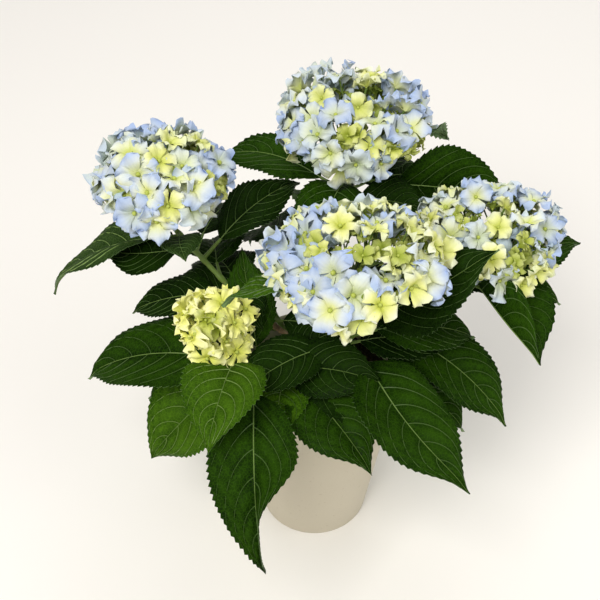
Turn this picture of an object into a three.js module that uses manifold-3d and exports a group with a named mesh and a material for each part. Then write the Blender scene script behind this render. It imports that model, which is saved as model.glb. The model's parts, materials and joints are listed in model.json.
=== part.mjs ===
// A hydrangea in a small plain pot: a short woody crown in the potting soil, five canes that each
// carry a mass of leaves and a flower head, and four short leafy shoots low on the crown.
// Millimetres, +Z up, the origin at the centre of the pot's flat underside. The photograph looks
// along +Y and down, so -Y is the front.
import * as THREE from 'three';
import { mergeVertices } from 'three/addons/utils/BufferGeometryUtils.js';
import Module from 'manifold-3d';

const wasm = await Module();
wasm.setup();

// Driving dimensions
const GAP = 0.3;
const SLIVER = 0.12;
const LEVEL_RUN = 0.01;
const POT = { footRadius: 36.5, rimRadius: 54.5, height: 128, wall: 2.8, floor: 4, edge: 0.8, sides: 48 };
const SOIL = { top: 115, mound: 2, moundShare: 0.6, sides: 32 };
const TRUNK = { top: 132, lean: -3, crownRadius: 7.6, crownShare: 0.84, sides: 14 };
const CANE = { seatRing: 4.7, rise: 10, footRadius: 2.1, topRadius: 1.3, sides: 6, stepLength: 9 };
const SHOOT = { footRadius: 1.9, topRadius: 1.2, clear: 4 };
const PETIOLE = { share: 0.22, footRadius: 1.3, tipRadius: 1 };
const BLADE = {
  widthBase: 14, widthShare: 0.4, widestPower: 0.75, thicknessRatio: 0.012, foldDegrees: 14, tip: 12,
  stations: 6,
};
const FAN = { sway: 7, lengthSway: 5, seed: 5 };
const FLORET = { lobes: 4, lobeHalfAngle: 27, notch: 0.6, cup: 0.08, crown: 0.3, collar: 0.8, back: 0.8 };
const RAY = {
  footRadius: 0.95, tipRadius: 0.5, knotRadius: 2.2, sides: 3, count: 6, spread: 52, reach: 0.42, root: 0.08,
};
const DOME = { lastPolar: 108, rimGrowth: 0.2, layers: 11, layerStep: 0.85, seed: 11, seedStep: 7 };

// Each cane runs from its seat on the crown, past a bend, to the foot of its flower head. Its lower
// part is the bare bough, up to leafFrom; the leafy stem follows, up to bloomFrom; the rest is the
// stalk of the head. A leaf is [place up the cane, turn, lift, droop, blade length]: degrees
// anticlockwise from +X, degrees above level, degrees that the blade arches down, millimetres. A
// leaf that is rolled about its midrib has a sixth value, the degrees of its roll.
// A fan is the leaves on the side that faces away, spread evenly by rule: how many, and where the
// first and the last stand up the cane and turn to.
const CANES = {
  left: {
    seat: 150, bend: [-40, 17, 164], top: [-92, 43, 214], leafFrom: 0.36, bloomFrom: 0.93,
    leaves: [
      [0.9, 180, -5, 55, 85, 25], [0.8, 172, 2, 22, 50], [0.92, 280, 25, 20, 35], [0.75, 45, 25, 40, 75],
      [0.5, 170, -5, 35, 65], [0.5, 150, -5, 50, 55],
    ],
    fan: { count: 3, up: [0.45, 0.8], turn: [120, 80], lift: 0, droop: 50, length: 74 },
    head: { centre: [-93, 46, 239], radius: 40, rise: 33, florets: 26, floretSize: 26 },
  },
  back: {
    seat: 78, bend: [8, 44, 180], top: [23, 84, 230], leafFrom: 0.4, bloomFrom: 0.93,
    leaves: [
      [0.85, 150, 14, 40, 82], [0.92, 256, 20, 70, 70], [0.85, 40, -5, 35, 75], [0.9, 45, 13, 50, 90, -35],
      [0.92, 0, -14, 0, 96, 60],
    ],
    fan: { count: 3, up: [0.55, 0.85], turn: [135, 75], lift: 0, droop: 60, length: 84 },
    head: { centre: [23, 88, 255], radius: 46, rise: 29, florets: 28, floretSize: 27 },
  },
  front: {
    seat: 294, bend: [20, -13, 168], top: [18, -32, 208], leafFrom: 0.22, bloomFrom: 0.92,
    leaves: [
      [0.6, 0, 44, 10, 84, 8], [0.55, 10, 8, 50, 70], [0.42, 307, 0, 32, 100, -10],
      [0.75, 174, 36, 42, 62, 40],
    ],
    head: { centre: [21, -31, 241], radius: 50, rise: 28, florets: 32, floretSize: 28 },
  },
  right: {
    seat: 6, bend: [50, 13, 160], top: [103, 26, 190], leafFrom: 0.42, bloomFrom: 0.92,
    leaves: [
      [0.5, 40, 14, 35, 80], [0.85, 20, 12, 30, 75], [0.85, 0, 5, 45, 60], [0.9, 299, 15, 50, 66],
      [0.45, 325, -12, 35, 82],
    ],
    fan: { count: 3, up: [0.5, 0.75], turn: [115, 40], lift: 0, droop: 45, length: 72 },
    head: { centre: [104, 29, 213], radius: 44, rise: 26, florets: 26, floretSize: 26 },
  },
  small: {
    seat: 222, bend: [-28, -20, 146], top: [-58, -16, 170], leafFrom: 0.3, bloomFrom: 0.94,
    leaves: [
      [0.5, 345, 32, 40, 66, 10], [0.4, 307, 8, 42, 76], [0.65, 271, 5, 90, 118], [0.8, 261, 30, 60, 74],
      [0.65, 168, 2, 44, 100], [0.6, 90, 40, 25, 58], [0.36, 325, 12, 55, 75], [0.35, 265, 15, 45, 50],
    ],
    head: { centre: [-62, -18, 185], radius: 24, rise: 20, florets: 14, floretSize: 19 },
  },
};

// Short shoots low on the crown, whose large old leaves hang over the pot's rim.
const SHOOTS = {
  low_back_left: {
    seat: 128, bend: [-17, 20, 135], top: [-28, 32, 150],
    fan: { count: 3, up: [0.6, 0.95], turn: [170, 100], lift: -8, droop: 60, length: 86 },
  },
  low_back_right: {
    seat: 52, bend: [14, 20, 135], top: [24, 34, 152],
    fan: { count: 3, up: [0.95, 0.6], turn: [85, 15], lift: -8, droop: 60, length: 86 },
  },
  low_right: {
    seat: 338, bend: [16, -8, 133], top: [30, -13, 146],
    fan: { count: 2, up: [0.95, 0.8], turn: [10, -25], lift: -5, droop: 55, length: 70 },
  },
  low_left: {
    seat: 188, bend: [-19, 0, 132], top: [-32, 1, 144],
    fan: { count: 2, up: [0.9, 0.8], turn: [205, 180], lift: -5, droop: 62, length: 86 },
  },
};

const COLOURS = {
  pot: { color: 0xe9e6df, roughness: 0.72, metalness: 0 },
  soil: { color: 0x33261b, roughness: 1, metalness: 0 },
  wood: { color: 0x6d5a3d, roughness: 0.85, metalness: 0 },
  leaf: { color: 0x47633f, roughness: 0.5, metalness: 0 },
  blue: { color: 0xb9c6e6, roughness: 0.7, metalness: 0 },
  lime: { color: 0xd9dfa6, roughness: 0.7, metalness: 0 },
};

const rad = THREE.MathUtils.degToRad;
const lerp = THREE.MathUtils.lerp;
const vec = (x, y, z) => new THREE.Vector3(x, y, z);

// Geometry helpers
function closedGeometry(points, faces) {
  const geometry = new THREE.BufferGeometry();
  geometry.setAttribute('position', new THREE.Float32BufferAttribute(points.flatMap((p) => p.toArray()), 3));
  geometry.setIndex(faces.flat());
  return geometry;
}

function toSolid(geometry) {
  const bare = geometry.clone();
  bare.deleteAttribute('normal');
  bare.deleteAttribute('uv');
  const merged = mergeVertices(bare, 1e-4);
  return new wasm.Manifold(new wasm.Mesh({
    numProp: 3,
    vertProperties: new Float32Array(merged.attributes.position.array),
    triVerts: new Uint32Array(merged.index.array),
  }));
}

function toGeometry(solid) {
  const mesh = solid.getMesh();
  const geometry = new THREE.BufferGeometry();
  geometry.setAttribute('position', new THREE.BufferAttribute(mesh.vertProperties, 3));
  geometry.setIndex(new THREE.BufferAttribute(mesh.triVerts, 1));
  geometry.computeVertexNormals();
  return geometry;
}

// Joins overlapping solids into one body; sealed hollows and loose scraps are left out.
function fuse(solids) {
  const bodies = wasm.Manifold.union(solids).decompose();
  const largest = bodies.reduce((best, body) => (body.volume() > best.volume() ? body : best));
  return largest.simplify(SLIVER);
}

function ring(centre, along, towards, radius, sides) {
  const side = towards.clone().projectOnPlane(along).normalize();
  const other = new THREE.Vector3().crossVectors(along, side);
  return Array.from({ length: sides }, (_, k) => {
    const angle = (2 * Math.PI * k) / sides;
    return centre.clone().addScaledVector(side, radius * Math.cos(angle))
      .addScaledVector(other, radius * Math.sin(angle));
  });
}

// A closed tapering limb: one ring of corners round each centre, and a flat cap at each end. The
// first corner of every ring faces the same level way, across the limb's whole run.
function taperedLimb(centres, directions, radii, sides) {
  const run = centres[centres.length - 1].clone().sub(centres[0]);
  const level = vec(-run.y, run.x, 0);
  const towards = level.length() > LEVEL_RUN ? level : vec(1, 0, 0);
  const points = centres.flatMap((centre, k) => ring(centre, directions[k], towards, radii[k], sides));
  const faces = [];
  for (let k = 0; k + 1 < centres.length; k += 1) {
    for (let s = 0; s < sides; s += 1) {
      const a = k * sides + s;
      const b = k * sides + ((s + 1) % sides);
      faces.push([a, b, b + sides], [a, b + sides, a + sides]);
    }
  }
  const last = (centres.length - 1) * sides;
  for (let s = 1; s + 1 < sides; s += 1) {
    faces.push([0, s + 1, s], [last, last + s, last + s + 1]);
  }
  return closedGeometry(points, faces);
}

function limbAlong(curve, from, to, { footRadius, topRadius }) {
  const steps = Math.max(2, Math.round(((to - from) * curve.getLength()) / CANE.stepLength));
  const places = Array.from({ length: steps + 1 }, (_, k) => lerp(from, to, k / steps));
  return taperedLimb(
    places.map((u) => curve.getPointAt(u)),
    places.map((u) => curve.getTangentAt(u)),
    places.map((u) => lerp(footRadius, topRadius, u)),
    CANE.sides,
  );
}

// Repeatable chance: the same seed always gives the same plant.
function chance(seed) {
  let state = seed;
  return () => {
    state = (state * 16807) % 2147483647;
    return state / 2147483647;
  };
}

// Pot and soil
function potWallRadius(height) {
  return lerp(POT.footRadius, POT.rimRadius, height / POT.height);
}

function lathe(profile, sides) {
  const geometry = new THREE.LatheGeometry(profile.map(([r, z]) => new THREE.Vector2(r, z)), sides);
  geometry.rotateX(Math.PI / 2);
  return geometry;
}

function potGeometry() {
  const { height, floor, edge } = POT;
  const inner = (z) => potWallRadius(z) - POT.wall;
  return lathe([
    [0, 0], [POT.footRadius - edge, 0], [potWallRadius(edge), edge],
    [potWallRadius(height - edge), height - edge], [POT.rimRadius - edge, height],
    [inner(height) + edge, height], [inner(height - edge), height - edge],
    [inner(floor), floor], [0, floor],
  ], POT.sides);
}

function soilGeometry() {
  const wall = (z) => potWallRadius(z) - POT.wall - GAP;
  const foot = POT.floor + GAP;
  const mound = SOIL.top + SOIL.mound;
  return lathe([
    [0, foot], [wall(foot), foot], [wall(SOIL.top), SOIL.top], [wall(SOIL.top) * SOIL.moundShare, mound],
    [0, mound],
  ], SOIL.sides);
}

// Woody crown: flared at the soil, waisted, and swollen again where the canes stand on it. Each row
// of its profile is a share of its height and the radius there.
function trunkCentre(share) {
  return vec(TRUNK.lean * share, 0, lerp(SOIL.top + SOIL.mound + GAP, TRUNK.top, share));
}

function trunkGeometry() {
  const profile = [[0, 10], [0.14, 8.2], [0.5, 6.4], [TRUNK.crownShare, TRUNK.crownRadius], [1, 7.2]];
  return taperedLimb(
    profile.map(([share]) => trunkCentre(share)),
    profile.map(() => vec(0, 0, 1)),
    profile.map(([, radius]) => radius),
    TRUNK.sides,
  );
}

// Canes and shoots as curves
function limbCurve(foot, second, bend, top) {
  return new THREE.CatmullRomCurve3([foot, second, vec(...bend), vec(...top)], false, 'centripetal');
}

function caneCurve({ seat, bend, top }) {
  const out = vec(Math.cos(rad(seat)), Math.sin(rad(seat)), 0);
  const foot = vec(TRUNK.lean, 0, TRUNK.top + GAP).addScaledVector(out, CANE.seatRing);
  return limbCurve(foot, foot.clone().add(vec(0, 0, CANE.rise)), bend, top);
}

function shootCurve({ seat, bend, top }) {
  const out = vec(Math.cos(rad(seat)), Math.sin(rad(seat)), 0);
  const foot = trunkCentre(TRUNK.crownShare).addScaledVector(out, TRUNK.crownRadius + GAP);
  return limbCurve(foot, foot.clone().addScaledVector(out, SHOOT.clear), bend, top);
}

// One leaf: four-cornered sections from the stem along the petiole and the ovate blade to its tip.
// The blade is folded up along its midrib, arches down and tips a little to the front.
function leafSolid(curve, [up, turn, lift, droop, length, roll = 0]) {
  const out = vec(Math.cos(rad(turn)), Math.sin(rad(turn)), 0);
  const left = vec(-out.y, out.x, 0);
  const tilt = rad(roll + BLADE.tip * out.x);
  const heading = (degrees) => out.clone().multiplyScalar(Math.cos(rad(degrees)))
    .setZ(Math.sin(rad(degrees)));
  const points = [];
  const section = (centre, along, reach, raise, thick) => {
    const across = left.clone().applyAxisAngle(along, tilt);
    const normal = new THREE.Vector3().crossVectors(along, across);
    points.push(
      centre.clone().addScaledVector(across, reach).addScaledVector(normal, raise),
      centre.clone().addScaledVector(normal, thick),
      centre.clone().addScaledVector(across, -reach).addScaledVector(normal, raise),
      centre.clone().addScaledVector(normal, -thick),
    );
  };
  const joint = curve.getPointAt(up);
  const centre = joint.clone().addScaledVector(heading(lift), PETIOLE.share * length);
  section(joint, heading(lift), PETIOLE.footRadius, 0, PETIOLE.footRadius);
  section(centre, heading(lift), PETIOLE.tipRadius, 0, PETIOLE.tipRadius);
  const width = BLADE.widthBase + BLADE.widthShare * length;
  const fold = rad(BLADE.foldDegrees);
  const thick = 0.5 * BLADE.thicknessRatio * length;
  const count = BLADE.stations;
  for (let k = 1; k < count; k += 1) {
    const t = k / count;
    const half = 0.5 * width * Math.sin(Math.PI * t ** BLADE.widestPower);
    centre.addScaledVector(heading(lift - droop * (t - 0.5 / count)), length / count);
    section(centre, heading(lift - droop * t), half * Math.cos(fold), half * Math.sin(fold), thick);
  }
  centre.addScaledVector(heading(lift - droop), length / count);
  points.push(centre);
  const tip = points.length - 1;
  const faces = [[0, 2, 1], [0, 3, 2]];
  for (let s = 0; s < 4; s += 1) {
    const next = (s + 1) % 4;
    for (let a = s, b = next; a + 4 < tip; a += 4, b += 4) {
      faces.push([a, b + 4, a + 4], [a, b, b + 4]);
    }
    faces.push([tip - 4 + s, tip - 4 + next, tip]);
  }
  return toSolid(closedGeometry(points, faces));
}

// The leaves of a fan, spread evenly with a little sway.
function fanRows({ count, up, turn, lift, droop, length }, random) {
  const sway = (amount) => amount * (2 * random() - 1);
  return Array.from({ length: count }, (_, k) => {
    const share = k / (count - 1);
    return [
      lerp(...up, share), lerp(...turn, share) + sway(FAN.sway), lift + sway(FAN.sway),
      droop + sway(FAN.sway), length + sway(FAN.lengthSway),
    ];
  });
}

// One floret: four broad sepals in a shallow cup, on a three-sided stalk from the ray's knot.
function floretSolid(knot, centre, normal, spin, size) {
  const side = new THREE.Vector3().crossVectors(normal, vec(0.31, 0.87, 0.38)).normalize();
  const other = new THREE.Vector3().crossVectors(normal, side);
  const rimPoint = (middle, degrees, radius, lift) => middle.clone()
    .addScaledVector(side, radius * Math.cos(rad(degrees)))
    .addScaledVector(other, radius * Math.sin(rad(degrees)))
    .addScaledVector(normal, lift);
  const corners = [];
  for (let lobe = 0; lobe < FLORET.lobes; lobe += 1) {
    const middle = spin + (360 / FLORET.lobes) * lobe;
    [[-FLORET.lobeHalfAngle, 1], [FLORET.lobeHalfAngle, 1], [180 / FLORET.lobes, FLORET.notch]]
      .forEach(([degrees, reach]) => corners.push([middle + degrees, 0.5 * size * reach]));
  }
  const sides = RAY.sides;
  const share = corners.length / sides;
  const stalkAngle = (j) => corners[j * share][0] + (0.5 * 360 * (share - 1)) / corners.length;
  const points = [
    centre.clone().addScaledVector(normal, FLORET.crown),
    ...corners.map(([degrees, radius]) => rimPoint(centre, degrees, radius, radius * FLORET.cup)),
  ];
  const top = points.length;
  for (let j = 0; j < sides; j += 1) {
    points.push(rimPoint(centre, stalkAngle(j), FLORET.collar, -FLORET.back));
  }
  for (let j = 0; j < sides; j += 1) {
    points.push(rimPoint(knot, stalkAngle(j), RAY.tipRadius, 0));
  }
  const faces = [[top + sides, top + sides + 2, top + sides + 1]];
  corners.forEach((_, k) => {
    const a = 1 + k;
    const b = 1 + ((k + 1) % corners.length);
    const j = top + Math.floor(k / share);
    faces.push([0, a, b], [j, b, a]);
    if ((k + 1) % share === 0) {
      faces.push([j, top + ((j - top + 1) % sides), b]);
    }
  });
  for (let j = 0; j < sides; j += 1) {
    const a = top + j;
    const b = top + ((j + 1) % sides);
    faces.push([a, a + sides, b + sides], [a, b + sides, b]);
  }
  return toSolid(closedGeometry(points, faces));
}

// A flower head: a stalk, rays that fan out from its end, and a domed cluster of florets on them.
function headSolid(curve, from, { centre, radius, rise, florets, floretSize }, seed) {
  const random = chance(seed);
  const middle = vec(...centre);
  const hubFoot = curve.getPointAt(1);
  const surface = (polar, azimuth) => vec(
    radius * Math.sin(polar) * Math.cos(azimuth),
    radius * Math.sin(polar) * Math.sin(azimuth),
    rise * Math.cos(polar),
  );
  const hubs = Array.from({ length: RAY.count + 1 }, (_, k) => {
    const target = middle.clone().add(surface(k === 0 ? 0 : rad(RAY.spread), (2 * Math.PI * k) / RAY.count));
    return hubFoot.clone().lerp(target, RAY.reach);
  });
  const solids = [toSolid(limbAlong(curve, from, 1, CANE))];
  hubs.forEach((hub) => {
    const foot = hubFoot.clone().lerp(hub, -RAY.root);
    const along = hub.clone().sub(foot).normalize();
    const ray = taperedLimb([foot, hub], [along, along], [RAY.footRadius, RAY.footRadius], RAY.sides);
    const knot = new THREE.OctahedronGeometry(RAY.knotRadius);
    knot.translate(...hub.toArray());
    solids.push(toSolid(ray), toSolid(knot));
  });
  const lastPolar = rad(DOME.lastPolar);
  const golden = Math.PI * (3 - Math.sqrt(5));
  for (let k = 0; k < florets; k += 1) {
    const polar = Math.acos(1 - ((1 - Math.cos(lastPolar)) * (k + 0.5)) / florets);
    const place = surface(polar, golden * k);
    const normal = vec(place.x / radius ** 2, place.y / radius ** 2, place.z / rise ** 2).normalize();
    const size = floretSize * (1 - DOME.rimGrowth * (1 - polar / lastPolar));
    place.addScaledVector(normal, -DOME.layerStep * (k % DOME.layers)).add(middle);
    const knot = hubs.reduce((best, h) => (h.distanceTo(place) < best.distanceTo(place) ? h : best));
    solids.push(floretSolid(knot, place, normal, 360 * random(), size));
  }
  return fuse(solids);
}

// Assembly
const plant = new THREE.Group();
const pieces = [];

function add(name, solid, look) {
  const mesh = new THREE.Mesh(toGeometry(solid), new THREE.MeshStandardMaterial(look));
  mesh.name = name;
  plant.add(mesh);
  pieces.push(solid);
}

add('pot', toSolid(potGeometry()), COLOURS.pot);
add('soil', toSolid(soilGeometry()), COLOURS.soil);
add('trunk', toSolid(trunkGeometry()), COLOURS.wood);

Object.entries(CANES).forEach(([name, cane], k) => {
  const curve = caneCurve(cane);
  const gap = GAP / curve.getLength();
  const seed = DOME.seed + DOME.seedStep * k;
  add(`bough_${name}`, toSolid(limbAlong(curve, 0, cane.leafFrom, CANE)), COLOURS.wood);
  add(
    `bloom_${name}`, headSolid(curve, cane.bloomFrom + gap, cane.head, seed),
    name === 'small' ? COLOURS.lime : COLOURS.blue,
  );
});

// Masses of leaves, each fused to its stem. The leaves of every mass are grown before the fans, and
// a leaf that would touch another piece or another mass is left out.
const random = chance(FAN.seed);
const masses = [
  ...Object.entries(CANES).map(([name, cane]) => {
    const curve = caneCurve(cane);
    const from = cane.leafFrom + GAP / curve.getLength();
    return { name, curve, stem: limbAlong(curve, from, cane.bloomFrom, CANE), ...cane };
  }),
  ...Object.entries(SHOOTS).map(([name, shoot]) => {
    const curve = shootCurve(shoot);
    return { name, curve, stem: limbAlong(curve, 0, 1, SHOOT), ...shoot };
  }),
];
masses.forEach((mass) => {
  mass.solids = [toSolid(mass.stem)];
});

function growLeaves(mass, rows) {
  const others = masses.filter((other) => other !== mass).flatMap((other) => other.solids);
  const neighbours = [...pieces, ...others];
  const grown = rows.map((row) => leafSolid(mass.curve, row));
  mass.solids.push(...grown.filter((leaf) => neighbours.every((other) => leaf.minGap(other, GAP) >= GAP)));
}

masses.forEach((mass) => growLeaves(mass, mass.leaves ?? []));
masses.forEach((mass) => growLeaves(mass, mass.fan ? fanRows(mass.fan, random) : []));
masses.forEach(({ name, solids }) => add(`foliage_${name}`, fuse(solids), COLOURS.leaf));

export default plant;
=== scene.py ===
# A small flowering hydrangea in a plain tapered pot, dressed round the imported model. The frame is the
# model's own: metres, the origin at the centre of the pot's flat underside, +Z up, -Y to the front.
import json
import math

import bpy
import numpy as np
from mathutils import Matrix, Vector
from mathutils.noise import noise as field

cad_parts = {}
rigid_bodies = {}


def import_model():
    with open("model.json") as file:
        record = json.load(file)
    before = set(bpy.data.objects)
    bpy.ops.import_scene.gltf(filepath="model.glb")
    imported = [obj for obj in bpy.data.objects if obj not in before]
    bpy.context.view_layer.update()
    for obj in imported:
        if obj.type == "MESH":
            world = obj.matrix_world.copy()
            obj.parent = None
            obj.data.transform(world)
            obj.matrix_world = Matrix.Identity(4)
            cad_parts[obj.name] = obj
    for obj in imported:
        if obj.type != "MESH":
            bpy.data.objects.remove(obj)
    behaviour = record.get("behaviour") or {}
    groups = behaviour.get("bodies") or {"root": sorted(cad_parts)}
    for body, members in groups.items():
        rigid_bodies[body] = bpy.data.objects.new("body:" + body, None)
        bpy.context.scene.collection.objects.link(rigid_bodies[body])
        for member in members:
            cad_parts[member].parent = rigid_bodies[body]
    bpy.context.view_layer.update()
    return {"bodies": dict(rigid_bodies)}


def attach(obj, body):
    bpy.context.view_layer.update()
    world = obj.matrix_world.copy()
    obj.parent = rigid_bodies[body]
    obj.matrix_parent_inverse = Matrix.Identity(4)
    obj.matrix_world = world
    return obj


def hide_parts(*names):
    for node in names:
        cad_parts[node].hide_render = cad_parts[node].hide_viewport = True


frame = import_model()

# Picture: a plain pale floor under soft studio light. The camera stands in front of the plant and
# looks down on it, where the photograph was taken from.
CAMERA_PLACE = (-0.0101, -0.4663, 0.6146)
CAMERA_TURN = (math.radians(47.5), 0, 0)
CAMERA_LENS = 63
FLOOR_HALF = 4.0
FLOOR_COLOUR = (0.93, 0.905, 0.865, 1)
PLANT_MIDDLE = Vector((0, 0, 0.15))


def paint(red, green, blue):
    """A colour given as it looks on a screen, 0 to 255, as the shader's linear colour."""
    return tuple(((value / 255 + 0.055) / 1.055) ** 2.4 for value in (red, green, blue)) + (1.0,)


class Reading:
    """A value read in a tree of nodes. The operators on it add the nodes of the sum."""

    def __init__(self, nodes, socket):
        self.nodes = nodes
        self.socket = socket

    def sum(self, operation, first, second):
        return self.nodes.node("ShaderNodeMath", {"operation": operation}, {0: first, 1: second})

    def __add__(self, other):
        return self.sum("ADD", self, other)

    def __sub__(self, other):
        return self.sum("SUBTRACT", self, other)

    def __rsub__(self, other):
        return self.sum("SUBTRACT", other, self)

    def __mul__(self, other):
        return self.sum("MULTIPLY", self, other)

    def __pow__(self, other):
        return self.sum("POWER", self, other)

    def __rpow__(self, other):
        return self.sum("POWER", other, self)

    __radd__ = __add__
    __rmul__ = __mul__


class Nodes:
    """A tree of nodes. node() adds one and reads its first output, or the one that is named. Its
    settings are made first, and a ramp's stops each hold a place and its colour."""

    def put(self, socket, value):
        if isinstance(value, Reading):
            self.tree.links.new(value.socket, socket)
        else:
            socket.default_value = value

    def node(self, kind, settings=None, sockets=None, output=None):
        made = self.tree.nodes.new(kind)
        for name, value in (settings or {}).items():
            if name == "stops":
                scale = made.color_ramp.elements
                for place, colour in value[len(scale):]:
                    scale.new(place)
                for stop, (place, colour) in zip(scale, value):
                    stop.position = place
                    stop.color = colour
            else:
                setattr(made, name, value)
        for name, value in (sockets or {}).items():
            self.put(made.inputs[name], value)
        found = [socket for socket in made.outputs if socket.enabled and output in (None, socket.name)]
        return Reading(self, found[0])


class Finish(Nodes):
    """One material, with its shader fed by surface()."""

    def __init__(self, name):
        self.material = bpy.data.materials.new(name)
        self.material.use_nodes = True
        self.tree = self.material.node_tree
        self.shader = self.tree.nodes["Principled BSDF"]
        self.where = self.node("ShaderNodeTexCoord", output="Object")

    def stretched(self, scale):
        """The place on the piece, stretched by a scale for each axis."""
        return self.node("ShaderNodeMapping", {}, {"Vector": self.where, "Scale": scale})

    def grain(self, scale, detail=3.0, where=None):
        """Cloudy noise, 0 to 1."""
        sockets = {"Vector": where or self.where, "Scale": scale, "Detail": detail}
        return self.node("ShaderNodeTexNoise", {}, sockets)

    def net(self, scale):
        """Distance to the nearest line of a net of cells."""
        settings = {"feature": "DISTANCE_TO_EDGE"}
        return self.node("ShaderNodeTexVoronoi", settings, {"Vector": self.where, "Scale": scale})

    def attribute(self, name):
        """A value that the mesh carries at its points."""
        return self.node("ShaderNodeAttribute", {"attribute_name": name}, output="Fac")

    def between(self, value, low, high):
        """0 below low and 1 above high, with an eased step."""
        settings = {"interpolation_type": "SMOOTHSTEP"}
        return self.node("ShaderNodeMapRange", settings, {"Value": value, "From Min": low, "From Max": high})

    def mix(self, share, first, second):
        return self.node("ShaderNodeMix", {"data_type": "RGBA"}, {0: share, 6: first, 7: second})

    def bump(self, height, strength, distance):
        sockets = {"Height": height, "Strength": strength, "Distance": distance}
        return self.node("ShaderNodeBump", {}, sockets)

    def surface(self, sockets):
        """Feeds the shader's sockets and gives back the finished material."""
        for name, value in sockets.items():
            self.put(self.shader.inputs[name], value)
        return self.material


def placed(name, data):
    """A new object in the picture."""
    made = bpy.data.objects.new(name, data)
    bpy.context.scene.collection.objects.link(made)
    return made


floor_mesh = bpy.data.meshes.new("floor")
corners = [(-1, -1), (1, -1), (1, 1), (-1, 1)]
floor_mesh.from_pydata([(FLOOR_HALF * x, FLOOR_HALF * y, 0) for x, y in corners], [], [(0, 1, 2, 3)])
floor_finish = Finish("floor_paper")
floor_mesh.materials.append(floor_finish.surface({"Base Color": FLOOR_COLOUR, "Roughness": 0.9}))
floor = placed("floor", floor_mesh)


def soft_light(name, place, size, power, colour):
    data = bpy.data.lights.new(name, "AREA")
    data.size = size
    data.energy = power
    data.color = colour
    lamp = placed(name, data)
    lamp.location = place
    lamp.rotation_euler = (PLANT_MIDDLE - Vector(place)).to_track_quat("-Z", "Y").to_euler()


soft_light("key_light", (-0.6, -1.1, 1.7), 1.0, 30, (1.0, 0.98, 0.95))
soft_light("fill_light", (1.4, -0.6, 1.2), 1.4, 9, (1.0, 0.99, 0.97))
soft_light("back_light", (0.3, 1.3, 1.5), 1.2, 9, (1.0, 1.0, 1.0))
world = bpy.data.worlds.new("pale_surround")
world.use_nodes = True
world.node_tree.nodes["Background"].inputs["Color"].default_value = (1.0, 0.98, 0.95, 1)
world.node_tree.nodes["Background"].inputs["Strength"].default_value = 0.4
bpy.context.scene.world = world
bpy.context.scene.view_settings.view_transform = "Standard"

camera_data = bpy.data.cameras.new("picture_view")
camera_data.lens = CAMERA_LENS
camera = placed("picture_view", camera_data)
camera.location = CAMERA_PLACE
camera.rotation_euler = CAMERA_TURN
bpy.context.scene.camera = camera

# Pot: a plain tapered cover pot of fired clay under a thin, matte, warm off-white glaze, whose colour is
# darkened to a greige as painted shade under the leaves. It is turned on a wheel, so its wall is round, with
# a softly rounded lip, a crisp foot and a flat base.
# Sizes here and in every later section are in millimetres.
MM = 0.001
FOOT_RADIUS, RIM_RADIUS, POT_HEIGHT = 36.5, 54.5, 128.0
POT_WALL, POT_FLOOR = 2.8, 4.0
LIP, FOOT_EDGE, EDGE_BAND = 1.3, 0.7, 4.0
POT_SIDES = 128
BODY = next(iter(frame["bodies"]))


class Skin:
    """The points and faces of one piece, gathered in millimetres."""

    def __init__(self):
        self.points = []
        self.faces = []
        self.finish = []
        self.values = {}
        self.count = 0

    def add(self, points, faces, finish=0, **values):
        points = np.asarray(points, dtype=float).reshape(-1, 3)
        self.points.append(points)
        self.faces.extend([tuple(self.count + corner for corner in face) for face in faces])
        self.finish.extend(finish if isinstance(finish, list) else [finish] * len(faces))
        for name, value in values.items():
            self.values.setdefault(name, []).append((self.count, np.asarray(value, dtype=float).ravel()))
        self.count += len(points)

    def mesh(self, name, finishes, sharp=50):
        made = bpy.data.meshes.new(name)
        made.from_pydata((np.concatenate(self.points) * MM).tolist(), [], self.faces)
        for finish in finishes:
            made.materials.append(finish)
        made.polygons.foreach_set("material_index", self.finish)
        made.polygons.foreach_set("use_smooth", [True] * len(made.polygons))
        for attribute, parts in self.values.items():
            values = np.zeros(self.count)
            for start, part in parts:
                values[start : start + len(part)] = part
            made.attributes.new(attribute, "FLOAT", "POINT").data.foreach_set("value", values)
        made.set_sharp_from_angle(angle=math.radians(sharp))
        made.update()
        return made


def stand(name, mesh, nodes):
    """Puts a finished mesh in the picture, on the model's one body, for the nodes that it replaces."""
    piece = placed(name, mesh)
    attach(piece, BODY)
    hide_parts(*nodes)


def turned(profile, sides):
    """A closed shape turned about the pot's axis; the profile starts and ends on it."""
    angles = 2 * math.pi * np.arange(sides) / sides
    rings = [[(r * math.cos(a), r * math.sin(a), z) for a in angles] for r, z in profile[1:-1]]
    points = [(0, 0, profile[0][1])] + [point for ring in rings for point in ring] + [(0, 0, profile[-1][1])]
    last = len(points) - 1
    faces = []
    for s in range(sides):
        n = (s + 1) % sides
        faces.append((0, 1 + n, 1 + s))
        for k in range(len(rings) - 1):
            a, b = 1 + k * sides, 1 + (k + 1) * sides
            faces.append((a + s, a + n, b + n, b + s))
        faces.append((last - sides + s, last - sides + n, last))
    return points, faces


def pot_radius(height):
    return FOOT_RADIUS + (RIM_RADIUS - FOOT_RADIUS) * height / POT_HEIGHT


def arc(centre_r, centre_z, radius, first, last, count):
    angles = [math.radians(first + (last - first) * k / count) for k in range(count + 1)]
    return [(centre_r + radius * math.cos(a), centre_z + radius * math.sin(a)) for a in angles]


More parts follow.
